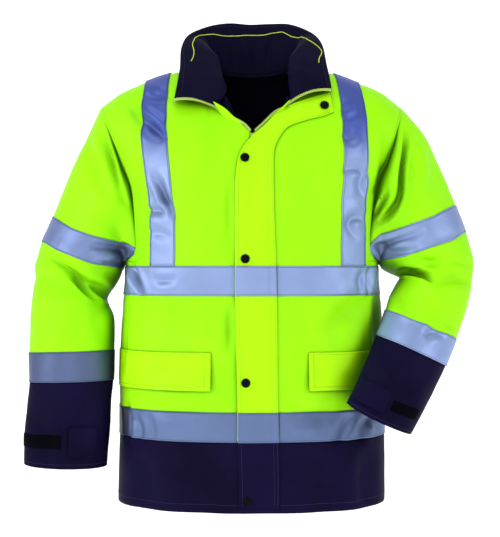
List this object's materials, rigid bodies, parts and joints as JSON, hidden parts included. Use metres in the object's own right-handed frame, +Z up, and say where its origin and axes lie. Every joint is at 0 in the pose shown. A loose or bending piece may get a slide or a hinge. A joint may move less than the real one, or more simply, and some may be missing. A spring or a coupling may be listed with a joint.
{
  "type": "hi-vis work jacket",
  "caption": "Hip-length work jacket of bright yellow and navy cloth with reflective tape, a tall open collar, a storm flap over the zip and long sleeves, shaped as worn.",
  "frame": {"origin": "middle of the wearer's neck, level with the place where the shoulder line begins", "axes": "+Z up along the standing wearer, -Y out of the wearer's chest, +X towards the wearer's left"},
  "size_m": [0.7949, 0.3656, 0.8632],
  "materials": {
    "cloth_yellow": "matt coated plain weave, fluorescent yellow",
    "flap_yellow": "matt coated plain weave in two layers, fluorescent yellow",
    "cloth_navy": "matt coated plain weave, dark navy",
    "lining": "smooth woven lining, dark navy",
    "piping": "folded piping, bright yellow",
    "zip": "moulded plastic teeth on woven tape",
    "reflective_tape": "silver retroreflective tape, satin with fine beads",
    "hook_strip": "black hook-and-loop strip",
    "stud": "black press stud, satin gloss"
  },
  "bodies": {
    "root": {"front_right": "cloth_yellow", "front_left": "cloth_yellow", "back": "cloth_yellow", "sleeve_right": "cloth_yellow", "sleeve_left": "cloth_yellow", "storm_flap": "flap_yellow", "pocket_flap_right": "flap_yellow", "pocket_flap_left": "flap_yellow", "hem_front_right": "cloth_navy", "hem_front_left": "cloth_navy", "hem_back": "cloth_navy", "forearm_right": "cloth_navy", "forearm_left": "cloth_navy", "cuff_tab_right": "cloth_navy", "cuff_tab_left": "cloth_navy", "storm_flap_hem": "cloth_navy", "collar_outer": "cloth_navy", "collar_inner": "lining", "facing_right": "lining", "facing_left": "lining", "collar_piping": "piping", "zip_chain": "zip", "tape_chest_right": "reflective_tape", "tape_chest_left": "reflective_tape", "tape_chest_back": "reflective_tape", "tape_chest_flap": "reflective_tape", "tape_hem_right": "reflective_tape", "tape_hem_left": "reflective_tape", "tape_hem_back": "reflective_tape", "tape_hem_flap": "reflective_tape", "tape_brace_right": "reflective_tape", "tape_brace_left": "reflective_tape", "band_upper_right": "reflective_tape", "band_upper_left": "reflective_tape", "band_lower_right": "reflective_tape", "band_lower_left": "reflective_tape", "cuff_strip_right": "hook_strip", "cuff_strip_left": "hook_strip", "stud_top": "stud", "stud_chest": "stud", "stud_waist": "stud", "stud_hem": "stud", "stud_collar": "stud"}
  },
  "joints": []
}
